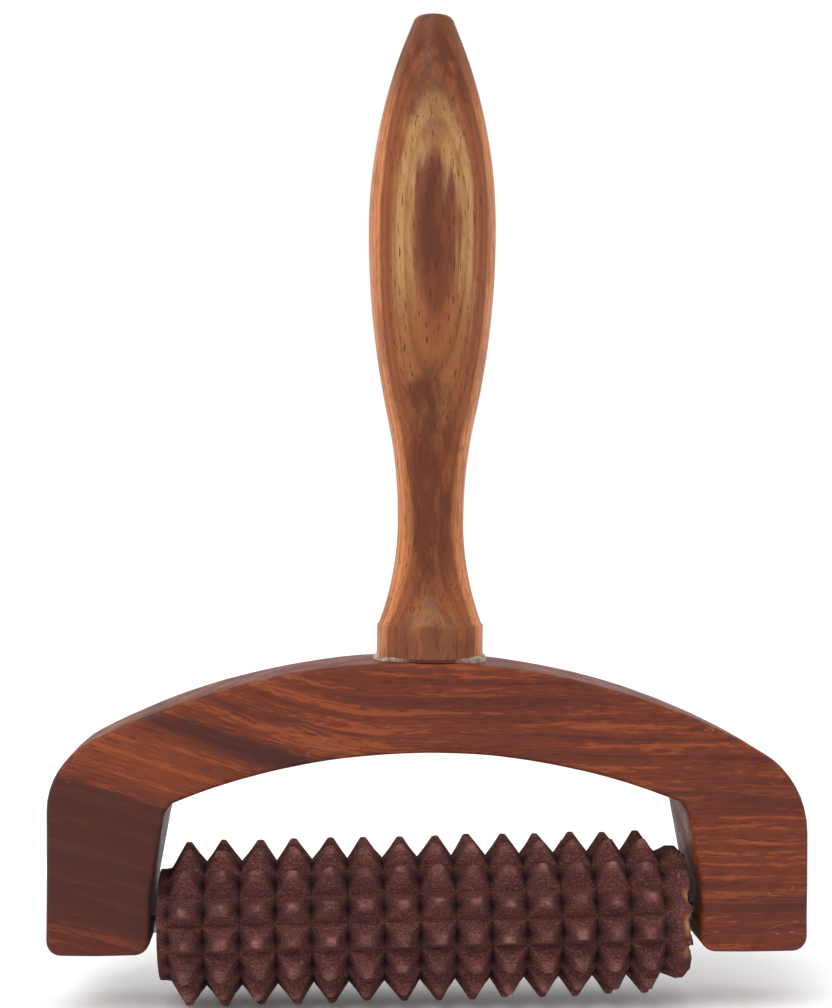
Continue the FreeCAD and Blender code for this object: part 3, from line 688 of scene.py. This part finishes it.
def draw_yoke_outline(bm, sizes):
    """Draw the board's closed outline in the plane of its front face."""
    half = (YOKE_HIGH.x - YOKE_LOW.x) / 2
    bottom = YOKE_LOW.z
    front = YOKE_LOW.y
    arch = Vector((sizes.arch_offset, front, YOKE_HIGH.z - sizes.arch_radius))
    tip = sizes.arm_tip_round
    corner = sizes.inner_corner
    fork_left, fork_right = fork_sides(sizes)
    mouth = sizes.fork_mouth / 2
    mouth_left = sizes.fork_offset - mouth
    mouth_right = sizes.fork_offset + mouth
    quarter = math.radians(90)

    def shoulder_centre(side, radius):
        x = side * (half - radius)
        rise = math.sqrt((sizes.arch_radius - radius) ** 2 - (x - arch.x) ** 2)
        return Vector((x, front, arch.z + rise))

    left = shoulder_centre(-1, sizes.left_shoulder)
    right = shoulder_centre(1, sizes.right_shoulder)
    left_lean = math.atan2(arch.x - left.x, left.z - arch.z)
    right_lean = math.atan2(right.x - arch.x, right.z - arch.z)
    under_centre_z = YOKE_HIGH.z - sizes.arch_depth - sizes.underside_radius
    mouth_top = under_centre_z + math.sqrt(sizes.underside_radius ** 2 - mouth ** 2)

    first = bm.verts.new((-half, front, bottom + tip))
    last = line_to(bm, first, (-half, front, left.z))
    last = turn_about(bm, last, left, quarter - left_lean, 8)
    last = turn_about(bm, last, arch, left_lean + right_lean, 40)
    last = turn_about(bm, last, right, quarter - right_lean, 8)
    last = line_to(bm, last, (half, front, bottom + tip))
    last = turn_about(bm, last, (half - tip, front, bottom + tip), quarter, 5)
    last = line_to(bm, last, (fork_right + tip, front, bottom))
    last = turn_about(bm, last, (fork_right + tip, front, bottom + tip), quarter, 5)
    last = line_to(bm, last, (fork_right, front, bottom + sizes.arm_straight))
    last = line_to(bm, last, (mouth_right, front, mouth_top - corner))
    last = line_to(bm, last, (mouth_right - corner, front, mouth_top + 0.4 * corner))
    last = arc_to(bm, last, (mouth_left + corner, front, last.co.z), -sizes.underside_radius, 36)
    last = line_to(bm, last, (mouth_left, front, mouth_top - corner))
    last = line_to(bm, last, (fork_left, front, bottom + sizes.arm_straight))
    last = line_to(bm, last, (fork_left, front, bottom + tip))
    last = turn_about(bm, last, (fork_left - tip, front, bottom + tip), quarter, 5)
    last = line_to(bm, last, (-half + tip, front, bottom))
    last = turn_about(bm, last, (-half + tip, front, bottom + tip), quarter, 5)
    bmesh.ops.remove_doubles(bm, verts=bm.verts, dist=0.01 * MM)


def slice_up(bm, axis, low, high, spacing):
    """Cut every face across at even steps along one axis."""
    steps = round((high - low) / spacing)
    normal = Vector((axis == "X", axis == "Y", axis == "Z"))
    for step in range(1, steps):
        bmesh.ops.bisect_plane(bm, geom=[*bm.verts, *bm.edges, *bm.faces], dist=0.001 * MM,
                               plane_co=normal * (low + (high - low) * step / steps), plane_no=normal)


def build_yoke(sizes, handle_sizes, material):
    thickness = YOKE_HIGH.y - YOKE_LOW.y
    bm = bmesh.new()
    draw_yoke_outline(bm, sizes)
    face = bmesh.ops.contextual_create(bm, geom=list(bm.edges))["faces"][0]
    sides = bmesh.ops.extrude_face_region(bm, geom=[face], use_keep_orig=True)
    moved = [item for item in sides["geom"] if isinstance(item, bmesh.types.BMVert)]
    bmesh.ops.translate(bm, verts=moved, vec=(0, thickness, 0))
    bmesh.ops.recalc_face_normals(bm, faces=bm.faces)
    rims = [edge for edge in bm.edges if abs(edge.verts[0].co.y - edge.verts[1].co.y) < 0.001 * MM]
    bmesh.ops.bevel(bm, geom=rims, offset=sizes.edge_round, affect="EDGES", segments=3, profile=0.5,
                    material=-1)
    slice_up(bm, "X", YOKE_LOW.x, YOKE_HIGH.x, 4 * MM)
    slice_up(bm, "Z", YOKE_LOW.z, YOKE_HIGH.z, 4 * MM)
    slice_up(bm, "Y", YOKE_LOW.y, YOKE_HIGH.y, 6 * MM)
    roughen(bm.verts, 22 * MM, sizes.unevenness, seed=1)
    roughen(bm.verts, 5 * MM, 0.3 * sizes.unevenness, seed=2)
    piece = finish_object("yoke_board", bm, math.radians(38))

    cutter = bmesh.new()
    drill = Matrix.Translation(AXLE_POINT) @ AXLE_DIRECTION.to_track_quat("Z", "Y").to_matrix().to_4x4()
    bmesh.ops.create_cone(cutter, cap_ends=True, segments=48, radius1=sizes.axle_radius,
                          radius2=sizes.axle_radius, depth=2 * (YOKE_HIGH.x - YOKE_LOW.x), matrix=drill)
    socket_radius = handle_sizes.tenon_radius + handle_sizes.socket_clearance
    collar_foot = HANDLE_TOP - handle_sizes.height
    socket_floor = collar_foot - handle_sizes.tenon_length - handle_sizes.socket_spare
    socket_depth = 2 * (YOKE_HIGH.z - socket_floor)
    bmesh.ops.create_cone(cutter, cap_ends=True, segments=48, radius1=socket_radius, radius2=socket_radius,
                          depth=socket_depth, matrix=Matrix.Translation((0, 0, YOKE_HIGH.z)))
    cut_away(piece, cutter)
    settle(piece, "frame", "yoke_wood", material, "yoke")
    return piece


# ---------------------------------------------------------------- handle

def spin_full(bm, axis, steps):
    """Turn everything drawn so far through a whole circle about an axis through the origin."""
    bmesh.ops.spin(bm, geom=[*bm.verts, *bm.edges], cent=(0, 0, 0), axis=axis, angle=math.radians(360),
                   steps=steps, use_merge=True, use_duplicate=False)
    bmesh.ops.remove_doubles(bm, verts=bm.verts, dist=0.001 * MM)
    bmesh.ops.recalc_face_normals(bm, faces=bm.faces)


def draw_handle_profile(bm, sizes):
    """Draw half of the turned outline, from the tenon's centre round the swell to the middle of the top."""
    foot = HANDLE_TOP - sizes.height
    collar_top = foot + sizes.collar_height + sizes.collar_bevel
    foot_out = sizes.collar_radius - sizes.collar_bevel - sizes.neck_radius
    foot_up = foot + sizes.neck_height - collar_top
    foot_bend = (foot_up ** 2 + foot_out ** 2) / (2 * foot_out)
    neck_z = foot + sizes.neck_height

    run = sizes.belly_height - sizes.neck_height
    gain = sizes.belly_radius - sizes.neck_radius
    both_bends = (run ** 2 + gain ** 2) / (2 * gain)
    hollow_bend = both_bends * (sizes.bend_height - sizes.neck_height) / run
    swell_bend = both_bends - hollow_bend
    lean = math.asin(run / both_bends)
    bend_radius = sizes.neck_radius + hollow_bend * (1 - math.cos(lean))
    bend_z = foot + sizes.bend_height
    belly_z = foot + sizes.belly_height
    head_fall = sizes.head_bend - sizes.belly_radius + sizes.head_radius
    head_z = belly_z + math.sqrt(sizes.head_bend ** 2 - head_fall ** 2)
    taper = math.acos(head_fall / sizes.head_bend)
    edge_z = HANDLE_TOP - sizes.head_edge
    edge_radius = sizes.head_radius - (edge_z - head_z) * math.tan(taper)

    last = bm.verts.new((0, 0, foot - sizes.tenon_length))
    last = line_to(bm, last, (sizes.tenon_radius, 0, last.co.z))
    last = line_to(bm, last, (sizes.tenon_radius, 0, foot))
    last = line_to(bm, last, (sizes.collar_radius - 0.3 * MM, 0, foot), 3)
    last = line_to(bm, last, (sizes.collar_radius, 0, foot + 0.3 * MM))
    last = line_to(bm, last, (sizes.collar_radius, 0, foot + sizes.collar_height), 8)
    last = line_to(bm, last, (sizes.collar_radius - sizes.collar_bevel, 0, collar_top))
    last = arc_to(bm, last, (sizes.neck_radius, 0, neck_z), foot_bend, 18)
    last = arc_to(bm, last, (bend_radius, 0, bend_z), hollow_bend, 16)
    last = arc_to(bm, last, (sizes.belly_radius, 0, belly_z), -swell_bend, 22)
    last = arc_to(bm, last, (sizes.head_radius, 0, head_z), -sizes.head_bend, 22)
    last = line_to(bm, last, (edge_radius, 0, edge_z), 3)
    last = arc_to(bm, last, (sizes.crown_flat, 0, HANDLE_TOP), -sizes.head_round, 5)
    line_to(bm, last, (0, 0, HANDLE_TOP), 2)


def build_handle(sizes, material):
    bm = bmesh.new()
    draw_handle_profile(bm, sizes)
    spin_full(bm, (0, 0, 1), 96)
    foot = HANDLE_TOP - sizes.height
    shown = [vert for vert in bm.verts if vert.co.z > foot + 0.4 * sizes.collar_height]
    roughen(shown, 30 * MM, sizes.unevenness, seed=4)
    piece = finish_object("turned_handle", bm, math.radians(35))
    settle(piece, "frame", "handle_wood", material, "handle")
    return piece


# ---------------------------------------------------------------- glue

def build_glue(sizes, yoke_sizes, handle_sizes, material):
    """A crust round the collar's foot, thick at both sides and no more than a line at the front."""
    foot = HANDLE_TOP - handle_sizes.height
    collar = handle_sizes.collar_radius
    arch_z = YOKE_HIGH.z - yoke_sizes.arch_radius
    bm = bmesh.new()
    last = bm.verts.new((collar - 1.2 * MM, 0, foot - 0.5 * sizes.line))
    first = last
    last = line_to(bm, last, (collar - 0.05 * MM, 0, foot - 0.2 * sizes.line), 2)
    last = line_to(bm, last, (collar - 0.05 * MM, 0, foot + sizes.rise), 3)
    last = arc_to(bm, last, (collar + sizes.width, 0, foot - 0.3 * MM), 1.4 * sizes.width, 5)
    last = line_to(bm, last, (collar + sizes.width, 0, foot - 1.0 * MM))
    last = line_to(bm, last, (collar - 1.2 * MM, 0, foot - 1.0 * MM), 2)
    bm.edges.new((last, first))
    spin_full(bm, (0, 0, 1), 120)
    crust = []
    for vert in bm.verts:
        round_by = math.atan2(vert.co.y, vert.co.x)
        radius = math.hypot(vert.co.x, vert.co.y)
        at_side = abs(math.cos(round_by)) ** 1.5
        lump = noise.noise(vert.co / (2.2 * MM)) * 0.5 + noise.noise(vert.co / (0.7 * MM)) * 0.3
        fullness = max(0.0, min(1.0, 0.08 + 0.92 * at_side * (0.85 + lump)))
        out = max(0.0, radius - collar)
        shrunk = min(radius, collar) + out * fullness
        vert.co.x *= shrunk / radius
        vert.co.y *= shrunk / radius
        above_arch = arch_z + math.sqrt(yoke_sizes.arch_radius ** 2
                                        - (vert.co.x - yoke_sizes.arch_offset) ** 2)
        if vert.co.z > foot:
            vert.co.z = foot + (vert.co.z - foot) * fullness
        elif vert.co.z < foot - 0.5 * MM or out > 0.5 * sizes.width:
            vert.co.z = above_arch - 0.02 * MM
        # where the crust is thin the material leaves the glue dark, as painted shade of the gap at the front
        crust.append(max(0.0, min(1.0, (fullness - 0.25) * 1.8)))
    bmesh.ops.recalc_face_normals(bm, faces=bm.faces)
    piece = finish_object("dried_glue", bm, math.radians(60))
    set_attribute(piece, "crust", crust)
    settle(piece, "frame", "dried_glue", material, "glue_bead")
    return piece


# ---------------------------------------------------------------- roller

def draw_roller_profile(bm, sizes, left_end, first_ring):
    """Draw the closed half section, x along the axle and z out from it, all the way round to the bore."""
    right_end = left_end + sizes.overall
    root = sizes.tip_radius - sizes.ring_depth
    blunt = sizes.tip_radius - sizes.blunt_loss
    half_tip = sizes.tip_width / 2
    first = bm.verts.new((left_end, 0, sizes.bore_radius))
    last = line_to(bm, first, (left_end, 0, sizes.plain_radius), 2)
    last = line_to(bm, last, (left_end + sizes.plain_length, 0, sizes.plain_radius))
    for ring in range(sizes.ring_count):
        centre = first_ring + ring * sizes.ring_pitch
        is_last = ring == sizes.ring_count - 1
        height = blunt if is_last else sizes.tip_radius
        last = line_to(bm, last, (centre - half_tip, 0, height))
        if is_last:
            last = line_to(bm, last, (right_end - sizes.blunt_end, 0, height))
            last = line_to(bm, last, (right_end, 0, height - sizes.blunt_fall))
        else:
            last = line_to(bm, last, (centre + half_tip, 0, height))
            last = line_to(bm, last, (centre + sizes.ring_pitch / 2, 0, root))
    last = line_to(bm, last, (right_end, 0, sizes.bore_radius), 3)
    line_to(bm, last, first.co, 6)
    bmesh.ops.remove_doubles(bm, verts=bm.verts, dist=0.001 * MM)


def cut_rows(bm, sizes, first_ring, chance):
    """Gather the evenly spun columns into rows of spikes, and set every tip a little off its true place."""
    columns = 3 * sizes.row_count
    row_turn = math.radians(360) / sizes.row_count
    tip_turn = sizes.tip_width / 2 / sizes.tip_radius
    row_root = sizes.tip_radius - sizes.row_depth
    core = 1.5 * sizes.bore_radius
    spread = sizes.hand_cut
    slips = {}
    for vert in bm.verts:
        radius = math.hypot(vert.co.y, vert.co.z)
        column = round(math.atan2(-vert.co.y, vert.co.z) / math.radians(360) * columns) % columns
        row, place_in_row = divmod(column + 1, 3)
        if radius < core:
            continue
        turn = row_turn * row + (-tip_turn, tip_turn, row_turn / 2)[place_in_row]
        if place_in_row == 2:
            radius = min(radius, row_root)
        if radius > row_root:
            ring = round((vert.co.x - first_ring) / sizes.ring_pitch)
            if (ring, row) not in slips:
                slips[ring, row] = [chance.gauss(0, 1) for _ in range(3)]
            along, sideways, out = slips[ring, row]
            vert.co.x += along * spread
            turn += sideways * spread / radius
            radius -= abs(out) * spread
        vert.co.y = -radius * math.sin(turn)
        vert.co.z = radius * math.cos(turn)


def split_to_lowest(bm):
    """Split four-sided faces from the highest corner to the one across, for straight ridges on the spikes."""
    for face in list(bm.faces):
        if len(face.verts) != 4:
            continue
        corners = list(face.verts)
        reach = [math.hypot(v.co.y, v.co.z) for v in corners]
        top = reach.index(max(reach))
        if max(reach) - sorted(reach)[2] > 0.5 * MM:
            bmesh.utils.face_split(face, corners[top], corners[(top + 2) % 4])


def clamped(value):
    return max(0.0, min(1.0, value))


def chip_the_end(bm, sizes, last_ring, right_end):
    """Break the last ring away where it faces front; returns how much raw wood each vertex shows."""
    root = sizes.tip_radius - sizes.ring_depth
    raw = []
    for vert in bm.verts:
        radius = math.hypot(vert.co.y, vert.co.z)
        up_from_front = math.degrees(math.atan2(vert.co.z, -vert.co.y))
        nearness = 0.0
        for middle, reach in ((27, 12), (0, 15), (-27, 9)):
            nearness = max(nearness, 1.0 - abs(up_from_front - middle) / reach)
        ragged = noise.noise(vert.co / (2.4 * MM)) * 0.5 + noise.noise(vert.co / (0.9 * MM)) * 0.3
        at_end = clamped((vert.co.x - last_ring) / (right_end - last_ring) + 0.25)
        rim = clamped((radius - 0.62 * root) / (0.38 * root))
        chipped = clamped((nearness * 1.5 + ragged) * at_end * 1.6 - 0.25) * rim
        crumbled = max(0.0, ragged + 0.1) * at_end * rim
        cut = 0.75 * sizes.chip_depth * chipped + 0.3 * sizes.chip_depth * crumbled
        if rim > 0:
            shrink = max(0.6 * root, radius - cut) / radius
            vert.co.y *= shrink
            vert.co.z *= shrink
            if at_end > 0.9:
                vert.co.x -= 0.35 * cut
        raw.append(chipped)
    return raw


def painted_hollow_shade(bm, sizes, first_ring):
    """How much painted shade each vertex gets: most in the grooves between two spikes of one row, where the
    spikes shade each other.
    """
    root = sizes.tip_radius - sizes.ring_depth
    row_turn = math.radians(360) / sizes.row_count
    hollow_shade = []
    for vert in bm.verts:
        radius = math.hypot(vert.co.y, vert.co.z)
        turn = math.atan2(-vert.co.y, vert.co.z) / row_turn
        on_row = 1.0 - 2.0 * abs(turn - round(turn))
        ring = (vert.co.x - first_ring) / sizes.ring_pitch
        in_groove = 2.0 * abs(ring - round(ring))
        depth = clamped(1.0 - (radius - root) / sizes.ring_depth)
        hollow_shade.append(clamped(depth * 1.1 * in_groove ** 1.5 * (0.25 + 0.75 * on_row)))
    return hollow_shade


def build_roller(sizes, left_arm, material):
    chance = random.Random(14)
    left_end = left_arm + sizes.end_gap
    first_ring = left_end + sizes.plain_length + sizes.ring_pitch / 2
    last_ring = first_ring + (sizes.ring_count - 1) * sizes.ring_pitch
    right_end = left_end + sizes.overall
    root = sizes.tip_radius - sizes.ring_depth
    bm = bmesh.new()
    draw_roller_profile(bm, sizes, left_end, first_ring)
    spin_full(bm, (1, 0, 0), 3 * sizes.row_count)
    cut_rows(bm, sizes, first_ring, chance)
    split_to_lowest(bm)
    spiked = [edge for edge in bm.edges
              if min(math.hypot(v.co.y, v.co.z) for v in edge.verts) > 0.7 * root
              and min(v.co.x for v in edge.verts) < right_end - 0.1 * MM]
    bmesh.ops.subdivide_edges(bm, edges=spiked, cuts=1, use_grid_fill=True)
    broken = [edge for edge in bm.edges
              if min(v.co.x for v in edge.verts) > last_ring - 1.6 * MM
              and min(math.hypot(v.co.y, v.co.z) for v in edge.verts) > 0.6 * root]
    bmesh.ops.subdivide_edges(bm, edges=broken, cuts=2, use_grid_fill=True)
    outer = [v for v in bm.verts
             if math.hypot(v.co.y, v.co.z) > 0.9 * root
             and left_end + 0.1 * MM < v.co.x < right_end - 0.1 * MM]
    bmesh.ops.smooth_vert(bm, verts=outer, factor=0.22, use_axis_x=True, use_axis_y=True, use_axis_z=True)
    # painted shade for the grooves between the spikes, kept as a vertex attribute for the material
    hollow_shade = painted_hollow_shade(bm, sizes, first_ring)
    roughen(outer, 2.6 * MM, 0.22 * MM, seed=6)
    for vert in bm.verts:
        share = clamped((vert.co.x - first_ring) / (last_ring - first_ring))
        vert.co.x += sizes.ring_drift * math.sin(math.pi * share ** 1.4)
    half_row = math.radians(180) / sizes.row_count
    bmesh.ops.rotate(bm, verts=bm.verts, cent=(0, 0, 0),
                     matrix=Matrix.Rotation(half_row + sizes.row_turn, 3, "X"))
    raw = chip_the_end(bm, sizes, last_ring, right_end)
    height = [(math.hypot(v.co.y, v.co.z) - root) / sizes.ring_depth for v in bm.verts]
    bmesh.ops.rotate(bm, verts=bm.verts, cent=(0, 0, 0), matrix=Matrix.Rotation(-AXLE_SLANT, 3, "Y"))
    bmesh.ops.translate(bm, verts=bm.verts, vec=AXLE_POINT)
    bmesh.ops.recalc_face_normals(bm, faces=bm.faces)
    piece = finish_object("carved_roller", bm, math.radians(42))
    set_attribute(piece, "raw_wood", raw)
    set_attribute(piece, "hollow_shade", hollow_shade)
    set_attribute(piece, "spike_height", height)
    settle(piece, "roller", "roller_wood", material, "spiked_roller")
    return piece


# ---------------------------------------------------------------- dowels

def build_dowel(name, node, side, material):
    """A short peg that closes the axle's hole, its end grain a hair inside the arm's face."""
    low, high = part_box(node)
    length_along = (high.x - low.x) / AXLE_DIRECTION.x
    middle_x = (low.x + high.x) / 2
    centre = AXLE_POINT + AXLE_DIRECTION * ((middle_x - AXLE_POINT.x) / AXLE_DIRECTION.x)
    radius = bpy.context.scene.roller_yoke.axle_radius
    turned = (AXLE_DIRECTION * side).to_track_quat("Z", "Y").to_matrix().to_4x4()
    bm = bmesh.new()
    bmesh.ops.create_cone(bm, cap_ends=True, segments=40, radius1=radius, radius2=radius,
                          depth=length_along - 0.1 * MM)
    outer = max(bm.faces, key=lambda face: face.calc_center_median().z)
    bmesh.ops.inset_region(bm, faces=[outer], thickness=0.12 * MM)
    bmesh.ops.translate(bm, verts=outer.verts, vec=(0, 0, 0.08 * MM))
    for _ in range(2):
        bmesh.ops.inset_region(bm, faces=[outer], thickness=0.55 * MM)
    bmesh.ops.translate(bm, verts=outer.verts, vec=(0, 0, 0.05 * MM))
    bmesh.ops.transform(bm, matrix=Matrix.Translation(centre) @ turned, verts=bm.verts)
    piece = finish_object(name, bm, math.radians(35))
    settle(piece, "frame", "plug_wood", material, node)
    return piece


# ---------------------------------------------------------------- stage

def build_floor(material):
    bm = bmesh.new()
    bmesh.ops.create_grid(bm, x_segments=1, y_segments=1, size=6.0)
    floor = finish_object("ground", bm, math.radians(30))
    floor.data.materials.append(material)
    return floor


def light_the_stage(settings):
    scene = bpy.context.scene
    scene.view_settings.view_transform = "Standard"
    world = bpy.data.worlds.new("white_surround")
    world.use_nodes = True
    background = next(n for n in world.node_tree.nodes if n.type == "BACKGROUND")
    background.inputs["Color"].default_value = (1, 1, 1, 1)
    background.inputs["Strength"].default_value = settings.world_light
    scene.world = world
    lamp = bpy.data.lights.new("overhead", "SUN")
    lamp.energy = settings.key_light
    lamp.angle = math.radians(35)
    overhead = bpy.data.objects.new("overhead", lamp)
    overhead.rotation_euler = (math.radians(38), 0, math.radians(-28))
    scene.collection.objects.link(overhead)


def set_camera(settings):
    lens = bpy.data.cameras.new("viewer")
    lens.lens = settings.lens
    lens.sensor_width = 36
    lens.sensor_fit = "AUTO"
    viewer = bpy.data.objects.new("viewer", lens)
    viewer.location = (settings.camera_x, YOKE_LOW.y - settings.camera_distance, settings.camera_height)
    level = Matrix.Rotation(-settings.pan, 3, "Z") @ Matrix.Rotation(math.radians(90) - settings.tilt, 3, "X")
    viewer.rotation_euler = (level @ Matrix.Rotation(-settings.roll, 3, "Z")).to_euler()
    bpy.context.scene.collection.objects.link(viewer)
    bpy.context.scene.camera = viewer


# ---------------------------------------------------------------- the add-on

class FOOTROLLER_OT_yoke(bpy.types.Operator):
    """Build the board: the arch with its two arms"""
    bl_idname = "footroller.yoke"
    bl_label = "Yoke Board"

    def execute(self, context):
        scene = context.scene
        build_yoke(scene.roller_yoke, scene.roller_handle, yoke_material(scene.roller_colours))
        return {"FINISHED"}


class FOOTROLLER_OT_handle(bpy.types.Operator):
    """Build the turned handle"""
    bl_idname = "footroller.handle"
    bl_label = "Turned Handle"

    def execute(self, context):
        scene = context.scene
        build_handle(scene.roller_handle, handle_material(scene.roller_colours))
        return {"FINISHED"}


class FOOTROLLER_OT_glue(bpy.types.Operator):
    """Build the dried glue round the handle's foot"""
    bl_idname = "footroller.glue"
    bl_label = "Dried Glue"

    def execute(self, context):
        scene = context.scene
        build_glue(scene.roller_glue, scene.roller_yoke, scene.roller_handle,
                   glue_material(scene.roller_colours))
        return {"FINISHED"}


class FOOTROLLER_OT_spikes(bpy.types.Operator):
    """Build the spiked roller"""
    bl_idname = "footroller.spikes"
    bl_label = "Spiked Roller"

    def execute(self, context):
        scene = context.scene
        left_arm, _ = fork_sides(scene.roller_yoke)
        build_roller(scene.roller_spikes, left_arm, roller_material(scene.roller_colours))
        return {"FINISHED"}


class FOOTROLLER_OT_axle(bpy.types.Operator):
    """Build the dowels over the rod's ends and give the rod its steel"""
    bl_idname = "footroller.axle"
    bl_label = "Axle and Dowels"

    def execute(self, context):
        end_grain = dowel_material(context.scene.roller_colours)
        build_dowel("left_dowel", "left_axle_plug", -1, end_grain)
        build_dowel("right_dowel", "right_axle_plug", 1, end_grain)
        rod = frame["nodes"]["axle_rod"]
        rod.data.materials.clear()
        rod.data.materials.append(steel_material())
        return {"FINISHED"}


class FOOTROLLER_OT_stage(bpy.types.Operator):
    """Set the ground, the light and the camera"""
    bl_idname = "footroller.stage"
    bl_label = "Ground, Light and Camera"

    def execute(self, context):
        build_floor(floor_material())
        light_the_stage(context.scene.roller_stage)
        set_camera(context.scene.roller_stage)
        return {"FINISHED"}


OPERATORS = (
    FOOTROLLER_OT_yoke,
    FOOTROLLER_OT_handle,
    FOOTROLLER_OT_glue,
    FOOTROLLER_OT_spikes,
    FOOTROLLER_OT_axle,
    FOOTROLLER_OT_stage,
)


class FOOTROLLER_PT_pieces(bpy.types.Panel):
    """Every piece of the foot roller, in the order they are built"""
    bl_label = "Foot Roller"
    bl_space_type = "VIEW_3D"
    bl_region_type = "UI"
    bl_category = "Foot Roller"

    def draw(self, context):
        for operator in OPERATORS:
            self.layout.operator(operator.bl_idname)


def register():
    for group in SETTING_GROUPS.values():
        bpy.utils.register_class(group)
    for name, group in SETTING_GROUPS.items():
        setattr(bpy.types.Scene, name, PointerProperty(type=group))
    for operator in OPERATORS:
        bpy.utils.register_class(operator)
    bpy.utils.register_class(FOOTROLLER_PT_pieces)


def unregister():
    bpy.utils.unregister_class(FOOTROLLER_PT_pieces)
    for operator in reversed(OPERATORS):
        bpy.utils.unregister_class(operator)
    for name in SETTING_GROUPS:
        delattr(bpy.types.Scene, name)
    for group in SETTING_GROUPS.values():
        bpy.utils.unregister_class(group)


def main():
    register()
    bpy.ops.footroller.yoke()
    bpy.ops.footroller.handle()
    bpy.ops.footroller.glue()
    bpy.ops.footroller.spikes()
    bpy.ops.footroller.axle()
    bpy.ops.footroller.stage()


if __name__ == "__main__":
    main()
